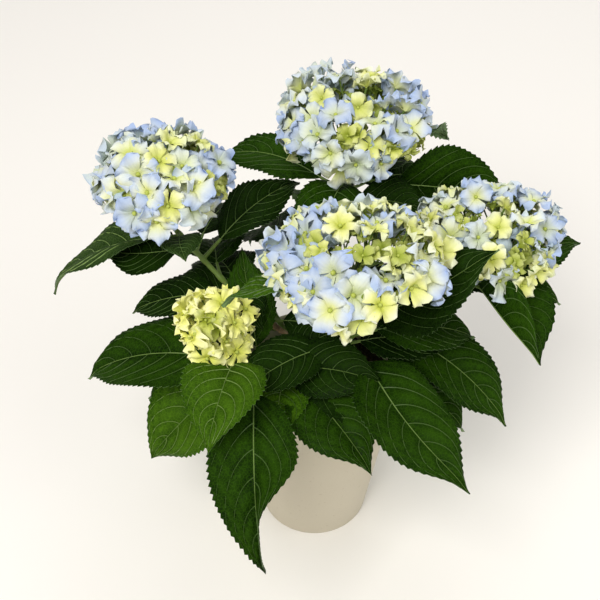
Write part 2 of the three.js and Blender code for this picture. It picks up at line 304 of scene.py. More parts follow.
outer = [(pot_radius(z), z) for z in np.linspace(EDGE_BAND, POT_HEIGHT - EDGE_BAND, 24)]
inner = [(pot_radius(z) - POT_WALL, z) for z in np.linspace(POT_HEIGHT - EDGE_BAND, POT_FLOOR + 3, 10)]
lip_middle = pot_radius(POT_HEIGHT) - POT_WALL / 2
pot_profile = [
    (0, 0), (FOOT_RADIUS - FOOT_EDGE - 3, 0),
    *arc(FOOT_RADIUS - FOOT_EDGE, FOOT_EDGE, FOOT_EDGE, -90, 0, 5),
    *outer,
    *arc(lip_middle, POT_HEIGHT - LIP, POT_WALL / 2, 0, 180, 10),
    *inner,
    (pot_radius(POT_FLOOR) - POT_WALL - 1, POT_FLOOR), (0, POT_FLOOR),
]
pot_skin = Skin()
pot_skin.add(*turned(pot_profile, POT_SIDES))

glaze = Finish("off_white_glaze")
glaze_clouds = glaze.grain(14, 4)
glaze_specks = glaze.between(glaze.grain(420, 2), 0.66, 0.74)
glaze_rings = glaze.grain(1, 2, glaze.stretched((30, 30, 700)))
# The two glaze colours are darker than the off-white glaze itself: painted shade under the leaves, over the
# glaze's own clouds.
glaze_colour_and_shade = glaze.mix(glaze_clouds, paint(192, 183, 162), paint(206, 198, 178))
glaze.surface({
    "Base Color": glaze.mix(glaze_specks * 0.35, glaze_colour_and_shade, paint(170, 156, 130)),
    "Roughness": glaze_clouds * 0.18 + 0.5,
    "Normal": glaze.bump(glaze_rings * 0.6 + glaze.grain(260, 3) * 0.4, 0.25, 0.0006),
})
stand("pot_glazed", pot_skin.mesh("pot_glazed", [glaze.material], 60), ["pot"])

# Potting soil: dark moist peat with bark fibre, pressed into the pot and a little higher in the
# middle. A fine uneven mound carries loose crumbs, strewn over its top by Geometry Nodes.
SOIL_TOP, SOIL_MOUND, SOIL_SHARE, SOIL_SHOULDER = 115.0, 2.0, 0.6, 112.0
SOIL_GAP = 0.3
SOIL_SIDES, SOIL_RINGS, SOIL_MIDDLE = 72, 26, 1.5
CRUMB_SIZE, CRUMBS_PER_M2, CRUMB_KINDS = 1.5, 130000, 4
CRUMB_RINGS, CRUMB_SIDES, CRUMB_LUMPS = 4, 6, 0.6
SOIL_SEED = 4

soil_foot = POT_FLOOR + SOIL_GAP


def soil_wall(height):
    return pot_radius(height) - POT_WALL - SOIL_GAP


def soil_height(radius):
    share = min(1.0, max(0.0, (radius / soil_wall(SOIL_TOP) - SOIL_SHARE) / (1 - SOIL_SHARE)))
    return SOIL_TOP + SOIL_MOUND * (1 - share * share * (3 - 2 * share))


soil_profile = [(0, soil_foot), (soil_wall(soil_foot), soil_foot)]
soil_profile += [(soil_wall(z), z) for z in np.linspace(30, SOIL_SHOULDER, 4)]
soil_profile += [(r, soil_height(r)) for r in np.linspace(soil_wall(SOIL_TOP), SOIL_MIDDLE, SOIL_RINGS)]
soil_profile += [(0, SOIL_TOP + SOIL_MOUND)]
soil_points, soil_faces = turned(soil_profile, SOIL_SIDES)


def uneven(x, y, z):
    """A point of the soil, moved up or down by its broad and its small lumps if it lies on the top."""
    if z > SOIL_SHOULDER:
        z += 0.9 * field(Vector((x, y, 0)) * 0.22) + 0.5 * field(Vector((x, y, 9)) * 0.7)
    return x, y, z


soil_points = [uneven(*point) for point in soil_points]
soil_skin = Skin()
soil_skin.add(soil_points, soil_faces)

peat = Finish("moist_peat")
peat_clouds = peat.grain(180, 6)
peat_fibre = peat.between(peat.grain(900, 4), 0.55, 0.72)
peat_colour = peat.mix(peat_clouds, paint(30, 22, 15), paint(66, 49, 34))
peat.surface({
    "Base Color": peat.mix(peat_fibre * 0.5, peat_colour, paint(104, 80, 56)),
    "Roughness": peat_clouds * 0.1 + 0.88,
    "Normal": peat.bump(peat.grain(700, 6), 0.9, 0.001),
})


class Growth(Nodes):
    """A Geometry Nodes tree with named inputs for its sizes. grow() gives back the plain mesh."""

    def __init__(self, name, sizes):
        self.tree = bpy.data.node_groups.new(name, "GeometryNodeTree")
        face = self.tree.interface
        face.new_socket("Geometry", in_out="INPUT", socket_type="NodeSocketGeometry")
        self.sizes = {
            size: face.new_socket(size, in_out="INPUT", socket_type="NodeSocket" + kind)
            for size, kind in sizes.items()
        }
        face.new_socket("Geometry", in_out="OUTPUT", socket_type="NodeSocketGeometry")
        given = self.tree.nodes.new("NodeGroupInput").outputs
        self.given = {label: Reading(self, given[label]) for label in ("Geometry", *sizes)}
        self.made = self.tree.nodes.new("NodeGroupOutput").inputs[0]

    def attribute(self, name, kind):
        return self.node("GeometryNodeInputNamedAttribute", {"data_type": kind}, {"Name": name})

    def set_out(self, points, shapes, turn, scale, **index):
        """Shapes of a group set on points, each turned and scaled, as one mesh."""
        stock = self.node("GeometryNodeCollectionInfo", {}, {
            "Collection": shapes, "Separate Children": True, "Reset Children": True,
        })
        spread = self.node("GeometryNodeInstanceOnPoints", {}, {
            "Points": points, "Instance": stock, "Pick Instance": True, "Scale": scale,
            "Rotation": self.node("FunctionNodeEulerToRotation", {}, {0: turn}),
        } | index)
        return self.node("GeometryNodeRealizeInstances", {}, {"Geometry": spread})

    def coat(self, geometry, material, **chosen):
        """Gives the geometry a material, or only the part of it that is chosen."""
        sockets = {"Geometry": geometry, "Material": material} | chosen
        return self.node("GeometryNodeSetMaterial", {}, sockets)

    def grow(self, mesh, values):
        seat = placed(mesh.name + "_seat", mesh)
        modifier = seat.modifiers.new("growth", "NODES")
        modifier.node_group = self.tree
        for size, value in values.items():
            modifier[self.sizes[size].identifier] = value
        graph = bpy.context.evaluated_depsgraph_get()
        grown = bpy.data.meshes.new_from_object(seat.evaluated_get(graph), depsgraph=graph)
        seat.modifiers.remove(modifier)
        bpy.data.objects.remove(seat)
        return grown


def shapes_for(name, meshes):
    """A group of shapes for a Geometry Nodes tree to pick from, in the order given."""
    group = bpy.data.collections.new(name)
    bpy.context.scene.collection.children.link(group)
    for k, mesh in enumerate(meshes):
        group.objects.link(bpy.data.objects.new(f"{name}_{k}", mesh))
    return group


def clear_shapes(group):
    for shape in list(group.objects):
        bpy.data.objects.remove(shape)
    bpy.data.collections.remove(group)


def crumb(seed):
    """One lump of peat with a few dozen faces, about one millimetre across."""
    polars = np.linspace(0, math.pi, CRUMB_RINGS + 1)
    points, faces = turned([(math.sin(polar) / 2, -math.cos(polar) / 2) for polar in polars], CRUMB_SIDES)
    for k in range(1, len(points) - 1):
        point = Vector(points[k])
        points[k] = point * (1 + CRUMB_LUMPS * field(point * 3.4 + Vector((seed, 0, 0))))
    skin = Skin()
    skin.add(points, faces)
    return skin.mesh("crumb", [], 40)


crumb_shapes = shapes_for("crumb_shape", [crumb(7.3 * k) for k in range(CRUMB_KINDS)])
crumb_inputs = {"Crumb shapes": "Collection", "Crumb size": "Float", "Crumbs per m2": "Float"}
strewing = Growth("strewn_crumbs", crumb_inputs)
crumb_spots = strewing.node("GeometryNodeDistributePointsOnFaces", {"distribute_method": "RANDOM"}, {
    "Mesh": strewing.given["Geometry"], "Density": strewing.given["Crumbs per m2"], "Seed": SOIL_SEED,
})
crumb_turn = strewing.node("FunctionNodeRandomValue", {"data_type": "FLOAT_VECTOR"}, {
    "Min": (0, 0, 0), "Max": (math.tau, math.tau, math.tau), "Seed": SOIL_SEED,
})
crumb_spread = strewing.node("FunctionNodeRandomValue", {"data_type": "FLOAT"}, {"Seed": SOIL_SEED + 1})
crumb_scale = (crumb_spread**2.5 * 0.8 + 0.3) * strewing.given["Crumb size"]
strewn = strewing.set_out(crumb_spots, strewing.given["Crumb shapes"], crumb_turn, crumb_scale)
strewing.put(strewing.made, strewing.coat(strewn, peat.material))

bed_skin = Skin()
bed_faces = [face for face in soil_faces if min(soil_points[corner][2] for corner in face) > SOIL_SHOULDER]
bed_skin.add(soil_points, bed_faces)
crumb_mesh = strewing.grow(bed_skin.mesh("soil_bed", []), {
    "Crumb shapes": crumb_shapes, "Crumb size": CRUMB_SIZE, "Crumbs per m2": CRUMBS_PER_M2,
})
clear_shapes(crumb_shapes)
stand("soil_mound", soil_skin.mesh("soil_mound", [peat.material], 80), ["soil"])
stand("soil_crumbs", crumb_mesh, ["soil"])

# Woody crown and canes: the old wood of the shrub. A short furrowed crown stands in the soil, and five
# bare brown canes grow out of it, each swollen a little at its foot and at its nodes.
TRUNK_TOP, TRUNK_LEAN, CROWN_SHARE, CROWN_RADIUS = 132.0, -3.0, 0.84, 7.6
TRUNK_PROFILE = ([0, 0.14, 0.5, 0.84, 0.95, 1.02], [10, 8.2, 6.4, 7.6, 7.2, 4.6])
TRUNK_STEPS, TRUNK_SIDES, TRUNK_ENDS = 34, 56, (-0.12, 1.02)
CLEAR = 0.3
SEAT_RING, CANE_RISE, CANE_FOOT, CANE_TIP = 4.7, 10.0, 2.1, 1.3
SHOOT_CLEAR, SHOOT_FOOT, SHOOT_TIP = 4.0, 1.9, 1.2
BARK_STEP, BARK_SIDES, BARK_LAP = 1.1, 22, 0.004
TRUNK_FURROWS, CANE_FURROWS = (0.2, 2.2), (0.13, 0.8)
SWELL_RISE, SWELL_REACH, ROOTED, LIMB_STEPS = 0.32, 1.3, 4.0, 81


class Limb:
    """The line of a cane or shoot through four places, read by the share of its length."""

    def __init__(self, foot, second, bend, top):
        stops = [np.array(stop, dtype=float) for stop in (foot, second, bend, top)]
        line = [2 * stops[0] - stops[1], *stops, 2 * stops[3] - stops[2]]
        places = []
        for a, b, c, d in zip(line, line[1:], line[2:], line[3:]):
            ab, bc, cd = (math.sqrt(np.linalg.norm(q - p)) for p, q in ((a, b), (b, c), (c, d)))
            leave = bc * ((b - a) / ab - (c - a) / (ab + bc) + (c - b) / bc)
            reach = bc * ((c - b) / bc - (d - b) / (bc + cd) + (d - c) / cd)
            t = np.linspace(0, 1, LIMB_STEPS)[:, None]
            places.append(b + leave * t + (3 * (c - b) - 2 * leave - reach) * t**2
                          + (2 * (b - c) + leave + reach) * t**3)
        self.places = np.concatenate([places[0], places[1][1:], places[2][1:]])
        runs = np.linalg.norm(np.diff(self.places, axis=0), axis=1)
        self.length = runs.sum()
        self.shares = np.concatenate([[0], np.cumsum(runs)]) / self.length

    def at(self, share):
        share = np.atleast_1d(share)
        found = np.stack([np.interp(share, self.shares, self.places[:, axis]) for axis in range(3)], axis=1)
        below = np.minimum(share, 0)[:, None] * self.length
        heading = self.places[1] - self.places[0]
        return found + below * (heading / np.linalg.norm(heading))


def trunk_centre(share):
    foot = SOIL_TOP + SOIL_MOUND + CLEAR
    return np.array([TRUNK_LEAN * share, 0, foot + (TRUNK_TOP - foot) * share])


def outward(degrees):
    return np.array([math.cos(math.radians(degrees)), math.sin(math.radians(degrees)), 0])


def cane(seat, bend, top):
    """A cane that stands on the crown, at a turn given in degrees."""
    foot = np.array([TRUNK_LEAN, 0, TRUNK_TOP + CLEAR]) + SEAT_RING * outward(seat)
    return Limb(foot, foot + [0, 0, CANE_RISE], bend, top)


def shoot(seat, bend, top):
    """A short shoot that leaves the crown's side, at a turn given in degrees."""
    foot = trunk_centre(CROWN_SHARE) + (CROWN_RADIUS + CLEAR) * outward(seat)
    return Limb(foot, foot + SHOOT_CLEAR * outward(seat), bend, top)


# Each cane: its line, and the share of its length where its leafy part starts.
canes = {
    "left": (cane(150, [-40, 17, 164], [-92, 43, 214]), 0.36),
    "back": (cane(78, [8, 44, 180], [23, 84, 230]), 0.4),
    "front": (cane(294, [20, -13, 168], [18, -32, 208]), 0.22),
    "right": (cane(6, [50, 13, 160], [103, 26, 190]), 0.42),
    "small": (cane(222, [-28, -20, 146], [-58, -16, 170]), 0.3),
}
shoots = {
    "low_back_left": shoot(128, [-17, 20, 135], [-28, 32, 150]),
    "low_back_right": shoot(52, [14, 20, 135], [24, 34, 152]),
    "low_right": shoot(338, [16, -8, 133], [30, -13, 146]),
    "low_left": shoot(188, [-19, 0, 132], [-32, 1, 144]),
}


def ring_faces(rings, sides):
    """The closed skin over rings of points, each with the same number of sides."""
    last = (rings - 1) * sides
    faces = []
    for a in range(0, last, sides):
        b = a + sides
        faces += [(a + s, a + (s + 1) % sides, b + (s + 1) % sides, b + s) for s in range(sides)]
    return [*faces, tuple(range(sides - 1, -1, -1)), tuple(range(last, last + sides))]


def tube(centres, radii, sides):
    """A closed limb: a ring round each centre, its radii one for the ring or one for each corner."""
    centres = np.asarray(centres, dtype=float)
    radii = np.asarray(radii, dtype=float).reshape(len(centres), -1)
    along = np.gradient(centres, axis=0)
    along /= np.linalg.norm(along, axis=1)[:, None]
    run = centres[-1] - centres[0]
    level = np.array([-run[1], run[0], 0]) if np.hypot(run[0], run[1]) > 0.01 else np.array([1.0, 0, 0])
    side = level - along * (along @ level)[:, None]
    side /= np.linalg.norm(side, axis=1)[:, None]
    other = np.cross(along, side)
    turn = 2 * math.pi * np.arange(sides) / sides
    spokes = side[:, None] * np.cos(turn)[None, :, None] + other[:, None] * np.sin(turn)[None, :, None]
    points = centres[:, None] + spokes * radii[:, :, None]
    return points.reshape(-1, 3), ring_faces(len(centres), sides)


def furrowed(centres, radii, sides, furrows):
    """Radii with the bark's long furrows, given by their depth and width, and its small bumps."""
    depth, width = furrows
    rows = []
    for centre, radius in zip(centres, radii):
        row = []
        for s in range(sides):
            turn = 2 * math.pi * s / sides
            x, y = math.cos(turn) * radius / width, math.sin(turn) * radius / width
            furrow = field(Vector((x, y, centre[2] * 0.16)))
            lump = field(Vector((x, y, centre[2] * 0.9 + 30)))
            row.append(radius * (1 + depth * furrow + 0.5 * depth * lump))
        rows.append(row)
    return rows


def swelling(shares, nodes, length, radius):
    """How much thicker a limb is near its nodes."""
    rise = np.zeros(len(shares))
    for node in nodes:
        rise += SWELL_RISE * np.exp(-(((shares - node) * length / (SWELL_REACH * radius)) ** 2))
    return 1 + rise


wood_skin = Skin()
trunk_shares = np.linspace(*TRUNK_ENDS, TRUNK_STEPS)
trunk_line = [trunk_centre(share) for share in trunk_shares]
trunk_radii = np.interp(trunk_shares, *TRUNK_PROFILE)
trunk_radii = np.convolve(np.pad(trunk_radii, 2, "edge"), np.ones(5) / 5, "valid")
wood_skin.add(*tube(trunk_line, furrowed(trunk_line, trunk_radii, TRUNK_SIDES, TRUNK_FURROWS), TRUNK_SIDES))
for line, leafy in canes.values():
    steps = round(leafy * line.length / BARK_STEP)
    shares = np.linspace(-ROOTED / line.length, leafy + BARK_LAP, steps)
    radii = CANE_FOOT + (CANE_TIP - CANE_FOOT) * shares
    radii = radii * swelling(shares, [0.0, 0.45 * leafy, leafy], line.length, CANE_FOOT)
    centres = line.at(shares)
    wood_skin.add(*tube(centres, furrowed(centres, radii, BARK_SIDES, CANE_FURROWS), BARK_SIDES))

bark = Finish("old_bark")
bark_streaks = bark.grain(1, 5, bark.stretched((900, 900, 130)))
bark_pale = bark.between(bark.grain(150, 3), 0.42, 0.64)
bark_colour = bark.mix(bark_streaks, paint(70, 52, 34), paint(150, 124, 88))
bark.surface({
    "Base Color": bark.mix(bark_pale * 0.5, bark_colour, paint(168, 150, 118)),
    "Roughness": bark_streaks * 0.15 + 0.75,
    "Normal": bark.bump(bark_streaks, 0.8, 0.0008),
})
stand("wood", wood_skin.mesh("wood", [bark.material], 70),
      ["trunk", *(f"bough_{name}" for name in canes)])

# Leaves: broad, pointed and toothed, dark green and quilted between pale arching veins, each a thin
# closed blade on a grooved stalk. They grow from the green ends of the canes and from four low shoots.
# A leaf is [place up the limb, turn, lift, droop, blade length, roll, tone], with degrees for angles.
PETIOLE_SHARE, PETIOLE_LAP, PETIOLE_RINGS = 0.22, 1.03, 8
PETIOLE_RADII = ([0, 0.12, 0.3, 1], [1.9, 1.55, 1.35, 1.0])
PETIOLE_GROOVE = np.array([0.72, 0.92, 1, 1, 1, 1, 1, 0.92])
BLADE_BASE, BLADE_SHARE, WIDEST_POWER, TIP_NARROWING = 14.0, 0.4, 0.75, 0.36
BLADE_STEPS, BLADE_FOLD, BLADE_LEAN, BLADE_TWIST, BLADE_CURL, TIP_SINK = 120, 14, 12.0, 7, 12, 0.03
BLADE_COLUMNS = (0.0, 0.09, 0.2, 0.33, 0.47, 0.61, 0.75, 0.88, 1.0)
BLADE_THICK, EDGE_THINNING = 0.38, 0.4
TOOTH_PITCH, TOOTH_DEPTH, TOOTH_LEAN = 3.8, 1.25, 1.1
QUILT, RIPPLE, SAG = 0.016, 0.024, 0.026
VEIN_PAIRS, VEIN_FIRST, VEIN_STEP, VEIN_STAGGER = 5, 0.05, 0.135, 0.022
VEIN_SWEEP, VEIN_ARCH, VEIN_END = 0.4, 0.75, 0.95
VEIN_SHOULDER, VEIN_CREST, VEIN_KEEL = 0.2, 0.34, 0.25
MIDRIB_STEPS, SIDE_VEIN_STEPS, SHORT_LEAF = 40, 14, 72
FAN_SWAY, FAN_LENGTH_SWAY, FAN_SEED, LEAF_SEED = 7.0, 5.0, 5, 21
TONES = ("dark", "mid", "grey", "light")
UNDERSIDE, VEIN, SIDE_VEIN = 4, 5, 6
UP = np.array([0, 0, 1])

leaf_rows = {
    "left": [
        [0.9, 180, -5, 55, 85, 25, "grey"], [0.8, 172, 2, 22, 50, 0, "dark"],
        [0.92, 280, 25, 20, 35, 0, "grey"], [0.75, 45, 25, 40, 75, 0, "dark"],
        [0.5, 170, -5, 35, 65, 0, "dark"], [0.5, 150, -5, 50, 55, 0, "dark"],
    ],
    "back": [
        [0.85, 150, 14, 40, 82, 0, "mid"], [0.92, 256, 20, 70, 70, 0, "mid"],
        [0.85, 40, -5, 35, 75, 0, "dark"], [0.9, 45, 13, 50, 90, -35, "mid"],
        [0.92, 0, -10, -4, 80, 62, "mid"],
    ],
    "front": [
        [0.6, 0, 44, 10, 84, 8, "dark"], [0.55, 10, 8, 50, 70, 0, "mid"],
        [0.42, 307, 0, 32, 100, -10, "mid"], [0.92, 187, 48, 84, 70, 40, "light"],
    ],
    "right": [
        [0.5, 40, 14, 35, 80, 0, "mid"], [0.85, 20, 16, 28, 75, 0, "mid"], [0.85, 0, 5, 45, 60, 0, "mid"],
        [0.9, 299, 15, 50, 66, 0, "mid"], [0.45, 325, -9, 35, 83, 0, "mid"],
    ],
    "small": [
        [0.5, 338, 28, 42, 62, 16, "dark"], [0.4, 307, 8, 42, 76, 0, "mid"],
        [0.65, 271, 5, 90, 118, 0, "mid"], [0.8, 261, 30, 60, 74, 0, "light"],
        [0.65, 168, 2, 44, 100, 0, "mid"], [0.6, 104, 55, 25, 62, 0, "mid"],
        [0.36, 325, 12, 55, 75, 0, "dark"], [0.35, 265, 15, 45, 50, 0, "light"],
    ],
    **{name: [] for name in shoots},
}
# A fan of leaves on the side that faces away: count, places, turns, lift, droop and blade length.
leaf_fans = {
    "left": (3, (0.45, 0.8), (120, 80), 0, 50, 74),
    "back": (3, (0.55, 0.85), (135, 75), 0, 60, 84),
    "right": (3, (0.5, 0.75), (115, 40), 0, 45, 72),
    "low_back_left": (3, (0.6, 0.95), (170, 100), -8, 60, 86),
    "low_back_right": (3, (0.95, 0.6), (85, 15), -8, 60, 86),
    "low_right": (2, (0.95, 0.8), (10, -25), -5, 55, 70),
    "low_left": (2, (0.9, 0.8), (205, 180), -5, 62, 86),
}
# Small inner leaves, which fill the crown close to the limbs.
inner_leaves = {
    "front": [[0.38, 214, 14, 45, 62, 0, "dark"], [0.32, 120, 30, 20, 34, 0, "dark"],
              [0.36, 4, 10, 48, 62, 0, "dark"]],
    "small": [[0.5, 20, 34, 20, 44, 0, "dark"]],
    "left": [[0.6, 300, 10, 30, 40, 0, "dark"], [0.32, 345, 12, 50, 52, 0, "dark"]],
    "right": [[0.55, 210, 30, 20, 38, 0, "dark"]],
    "back": [[0.6, 230, 10, 30, 46, 0, "dark"], [0.84, 350, -6, -4, 46, 34, "dark"]],
}

# Leaves with a habit of their own: slim is how wide the blade is for its length, belly and tip are how
# far its middle and its tip stand to its left, and curl is the degrees that the tip turns over. Fold
# has the degrees that the left and the right half are folded up, tip_fold the same towards the tip,
# and stalk the stalk's share of the length.
leaf_habits = {
    ("left", 1): {"slim": 1.2, "belly": 0.1, "tip": 0.0},
    ("left", 3): {"slim": 0.78, "belly": 0.02},
    ("left", 4): {"slim": 0.85},
    ("back", 0): {"slim": 0.8, "belly": -0.03},
    ("back", 3): {"slim": 0.66, "tip": 0.0, "curl": 0},
    ("back", 4): {"slim": 1.3, "curl": 0, "stalk": 0.38, "fold": (14, -40)},
    ("front", 0): {"slim": 1.1, "belly": -0.05, "tip": 0.0},
    ("front", 2): {"slim": 1.04, "belly": -0.085, "tip": 0.0, "curl": 0},
    ("right", 3): {"slim": 1.75, "belly": -0.08, "tip": 0.0, "curl": 0, "fold": (5, 104)},
    ("small", 1): {"slim": 1.12, "belly": 0.0},
    ("small", 2): {"slim": 0.84, "belly": 0.0, "tip": 0.05, "curl": 0, "tip_fold": (84, 14)},
    ("small", 3): {"slim": 1.1},
    ("small", 4): {"slim": 1.06},
    ("small", 5): {"slim": 0.8, "belly": 0.0},
    ("low_left", 0): {"slim": 1.2, "belly": 0.08},
}


def chance(seed):
    """Repeatable shares between 0 and 1, by which the solids' fans are swayed too."""
    state = seed
    while True:
        state = state * 16807 % 2147483647
        yield state / 2147483647


fan_chance = chance(FAN_SEED)


def sway(amount):
    return amount * (2 * next(fan_chance) - 1)


for name, (count, places, turns, lift, droop, length) in leaf_fans.items():
    for k in range(count):
        share = k / (count - 1)
        leaf_rows[name].append([
            places[0] + (places[1] - places[0]) * share,
            turns[0] + (turns[1] - turns[0]) * share + sway(FAN_SWAY),
            lift + sway(FAN_SWAY), droop + sway(FAN_SWAY), length + sway(FAN_LENGTH_SWAY), 0,
            "light" if (name, k) == ("low_left", 0) else TONES[k % 2],
        ])


def eased(value, low, high):
    share = np.clip((value - low) / (high - low), 0, 1)
    return share * share * (3 - 2 * share)


def turned_about(vectors, axes, angles):
    """Each vector turned about its own unit axis."""
    cos, sin = np.cos(angles)[:, None], np.sin(angles)[:, None]
    dots = np.sum(vectors * axes, axis=1)[:, None]
    return vectors * cos + np.cross(axes, vectors) * sin + axes * dots * (1 - cos)


def vein_sweep(reach):
    """How far a side vein has swept towards the tip, for its reach from midrib to margin."""
    return VEIN_SWEEP * ((1 - VEIN_ARCH) * reach + VEIN_ARCH * reach**2)


class Blade:
    """One leaf's blade as a surface: at() gives places for shares along it and across it, -1 to 1."""

    def __init__(self, limb, row, luck, habit):
        up, turn, lift, droop, self.length, roll, self.tone = row
        habit = {
            "slim": luck.uniform(0.94, 1.05), "belly": luck.uniform(-0.03, 0.03),
            "tip": luck.uniform(-0.05, 0.05), "curl": luck.uniform(-BLADE_CURL, BLADE_CURL),
            "fold": (BLADE_FOLD, BLADE_FOLD), "stalk": PETIOLE_SHARE,
        } | habit
        self.fold = np.radians([habit["fold"], habit.get("tip_fold", habit["fold"])])
        out = outward(turn)
        self.shares = np.linspace(0, 1, BLADE_STEPS + 1)
        slopes = np.radians(lift - droop * self.shares)
        along = out * np.cos(slopes)[:, None] + UP * np.sin(slopes)[:, None]
        self.joint = limb.at(up)[0]
        rise = math.radians(lift)
        self.stalk = (out * math.cos(rise) + UP * math.sin(rise)) * (habit["stalk"] * self.length)
        steps = 0.5 * (along[1:] + along[:-1]) * self.length / BLADE_STEPS
        self.line = self.joint + self.stalk + np.concatenate([[np.zeros(3)], np.cumsum(steps, axis=0)])
        left = np.tile(np.cross(UP, out), (BLADE_STEPS + 1, 1))
        twist = math.radians(luck.uniform(-BLADE_TWIST, BLADE_TWIST))
        tilt = math.radians(roll + BLADE_LEAN * out[0]) + twist * self.shares
        tilt = tilt + math.radians(habit["curl"]) * eased(self.shares, 0.6, 1)
        self.across = turned_about(left, along, tilt)
        self.normal = np.cross(along, self.across)
        aside = habit["belly"] * np.sin(math.pi * self.shares) + habit["tip"] * self.shares**3
        sink = TIP_SINK * eased(self.shares, 0.8, 1) ** 2
        self.line += self.length * (self.across * aside[:, None] - self.normal * sink[:, None])
        self.width = habit["slim"] * (BLADE_BASE + BLADE_SHARE * self.length)
        self.wave = luck.uniform(0, math.tau)
        self.wave_side = luck.uniform(0.5, 2.2)
        self.wave_count = luck.uniform(1.6, 2.6)

    def half(self, t):
        """Half the width at a share of the length."""
        wide = 0.5 * self.width * np.sin(math.pi * np.clip(t, 0, 1) ** WIDEST_POWER)
        return np.maximum(wide * (1 - TIP_NARROWING * eased(t, 0.7, 0.97)), 0.45 - 0.33 * t)

    def bulge(self, t, v):
        """How far the quilting stands up between two side veins, 0 to 1."""
        side = np.abs(v)
        phase = (t - vein_sweep(side) - VEIN_FIRST - VEIN_STAGGER * (v > 0)) / VEIN_STEP
        ends = eased(t, 0.02, 0.12) * (1 - eased(t, 0.86, 0.98))
        return np.sin(math.pi * phase) ** 2 * eased(side, 0.02, 0.25) * (1 - eased(side, 0.72, 1)) * ends

    def frame(self, t):
        """The middle line, the way across and the way up at a share of the length."""
        return [
            np.stack([np.interp(t, self.shares, table[:, k]) for k in range(3)], axis=-1)
            for table in (self.line, self.across, self.normal)
        ]

    def at(self, t, v):
        centre, across, normal = self.frame(t)
        half = self.half(t)
        side = np.sqrt(v * v + 0.003) - 0.055
        fold = self.fold[0] + (self.fold[1] - self.fold[0]) * eased(t, 0.32, 0.66)[..., None]
        fold = np.where(v < 0, fold[..., 1], fold[..., 0])
        ripple = np.sin(math.tau * self.wave_count * t + self.wave + self.wave_side * np.sign(v)) * v**2
        ripple = ripple * eased(t, 0, 0.2) * (1 - 0.4 * t)
        sag = np.sin(5.2 * t + 2.4 * v + self.wave) * np.sin(3.1 * t - 1.3 * v + self.wave_side)
        sag = sag * eased(t, 0, 0.25) * np.abs(v)
        rise = half * np.sin(fold) * (side - 0.35 * side**3)
        rise = rise + self.length * (QUILT * self.bulge(t, v) + RIPPLE * ripple + SAG * sag)
        return centre + across * (half * np.cos(fold) * v)[..., None] + normal * rise[..., None]

    def lay(self, columns):
        """Sets the upper face's points, with the teeth along both margins."""
        rows = 2 * max(8, round(self.length * 1.04 / TOOTH_PITCH)) + 1
        self.columns = columns
        t, v = np.meshgrid(np.linspace(0, 1, rows), columns, indexing="ij")
        jut = (np.arange(rows) % 2 == 1) * eased(t[:, 0], 0.03, 0.1) * (1 - eased(t[:, 0], 0.8, 0.97))
        for column, inner in ((0, 1), (-1, -2)):
            tooth = jut * (0.7 + 0.5 * np.abs(np.sin(np.arange(rows) * 1.7 + self.wave + column)))
            depth = TOOTH_DEPTH * (0.6 + self.length / 200) / np.maximum(self.half(t[:, 0]), 2)
            v[:, column] *= 1 + tooth * depth
            t[:, column] += tooth * TOOTH_LEAN / self.length
            t[:, inner] += tooth * 0.3 / self.length
        self.t, self.v = t, v
        self.upper = self.at(t, v)

    def on(self, t, v):
        """Places on the upper face as it was laid, for shares along and across."""
        row = np.clip(t, 0, 1) * (len(self.t) - 1)
        column = np.interp(v, self.columns, np.arange(len(self.columns)))
        i = np.minimum(row.astype(int), len(self.t) - 2)
        j = np.minimum(column.astype(int), len(self.columns) - 2)
        down, right = (row - i)[:, None], (column - j)[:, None]
        near = self.upper[i, j] * (1 - right) + self.upper[i, j + 1] * right
        far = self.upper[i + 1, j] * (1 - right) + self.upper[i + 1, j + 1] * right
        return near * (1 - down) + far * down


def grid_faces(rows, columns):
    """The closed skin over two sheets of rows by columns points, the upper one first."""
    under = rows * columns
    upper, lower, rim = [], [], []
    for i in range(rows - 1):
        first = i * columns
        for a in range(first, first + columns - 1):
            b, c, d = a + columns, a + columns + 1, a + 1
            upper.append((a, b, c, d))
            lower.append((under + a, under + d, under + c, under + b))
        a, b = first, first + columns
        rim.append((a, under + a, under + b, b))
        a, b = a + columns - 1, b + columns - 1
        rim.append((a, b, under + b, under + a))
    last = (rows - 1) * columns
    for j in range(columns - 1):
        rim.append((j, j + 1, under + j + 1, under + j))
        rim.append((last + j, under + last + j, under + last + j + 1, last + j + 1))
    return upper, lower, rim


def add_blade(skin, blade):
    """The toothed blade: its upper face in its tone, its lower face and its edge in the pale finish."""
    half_columns = np.array(BLADE_COLUMNS)
    blade.lay(np.concatenate([-half_columns[:0:-1], half_columns]))
    thick = BLADE_THICK * (1 - EDGE_THINNING * np.abs(blade.v) ** 3)
    low = blade.upper - blade.frame(blade.t)[2] * thick[..., None]
    upper, lower, rim = grid_faces(*blade.t.shape)
    finish = [TONES.index(blade.tone)] * len(upper) + [UNDERSIDE] * (len(lower) + len(rim))
    bulge = np.tile(blade.bulge(blade.t, blade.v).ravel(), 2)
    skin.add(np.concatenate([blade.upper, low]), upper + lower + rim, finish, bulge=bulge)


def add_rib(skin, blade, t, v, widths, finish):
    """One vein: a low ridge on the upper face that goes through the blade and stands out below."""
    crest = blade.on(t, v)
    normal = blade.frame(t)[2]
    run = np.gradient(crest, axis=0)
    run /= np.maximum(np.linalg.norm(run, axis=1), 1e-9)[:, None]
    side = np.cross(normal, run)
    side /= np.linalg.norm(side, axis=1)[:, None]
    widths = widths[:, None]
    shoulder = crest + normal * VEIN_SHOULDER
    points = np.stack([
        shoulder + side * widths, crest - normal * (BLADE_THICK + VEIN_KEEL + 0.9 * widths),
        shoulder - side * widths, crest + normal * (VEIN_CREST + 0.5 * widths),
    ], axis=1)
    last = 4 * (len(crest) - 1)
    around = ((0, 1), (1, 2), (2, 3), (3, 0))
    faces = [(a + s, a + 4 + s, a + 4 + n, a + n) for a in range(0, last, 4) for s, n in around]
    skin.add(points, [*faces, (0, 1, 2, 3), (last + 3, last + 2, last + 1, last)], finish)


